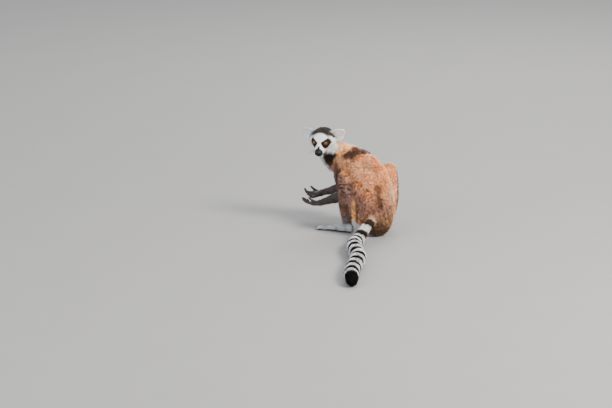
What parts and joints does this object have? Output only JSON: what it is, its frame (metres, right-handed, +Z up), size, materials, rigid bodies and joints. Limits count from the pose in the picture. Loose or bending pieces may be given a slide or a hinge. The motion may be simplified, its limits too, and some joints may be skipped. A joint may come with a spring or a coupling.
{
  "type": "ring-tailed lemur",
  "caption": "Adult ring-tailed lemur at life size, a still model: sitting on its haunches, looking back over one shoulder, forearms held out, long ringed tail laid on the floor",
  "frame": {"origin": "centre of the rump's seat flat on the floor (mount seat)", "axes": "+Z up; -Z is the seat's outward normal; the tail runs out along -Y, the model's longest side; the pelvis faces +Y and the head looks back towards -Y"},
  "size_m": [0.2646, 0.7411, 0.2705],
  "materials": {
    "coat_back": "woolly rust-brown fur",
    "coat_limb": "short grey-brown fur",
    "coat_face": "short white fur",
    "coat_hand": "fine grey fur over leathery skin",
    "coat_tail": "fluffy black and white ringed fur",
    "nose": "moist black skin",
    "eye": "wet amber iris, round black pupil"
  },
  "bodies": {
    "root": {"trunk": "coat_back", "thigh_left": "coat_back", "thigh_right": "coat_back", "upper_arm_left": "coat_back", "upper_arm_right": "coat_back", "neck": "coat_limb", "shin_left": "coat_limb", "shin_right": "coat_limb", "forearm_left": "coat_limb", "forearm_right": "coat_limb", "head": "coat_face", "ear_left": "coat_face", "ear_right": "coat_face", "hand_left": "coat_hand", "hand_right": "coat_hand", "foot_left": "coat_hand", "foot_right": "coat_hand", "tail_1": "coat_tail", "tail_2": "coat_tail", "tail_3": "coat_tail", "tail_4": "coat_tail", "tail_5": "coat_tail", "nose": "nose", "eye_left": "eye", "eye_right": "eye"}
  },
  "joints": []
}
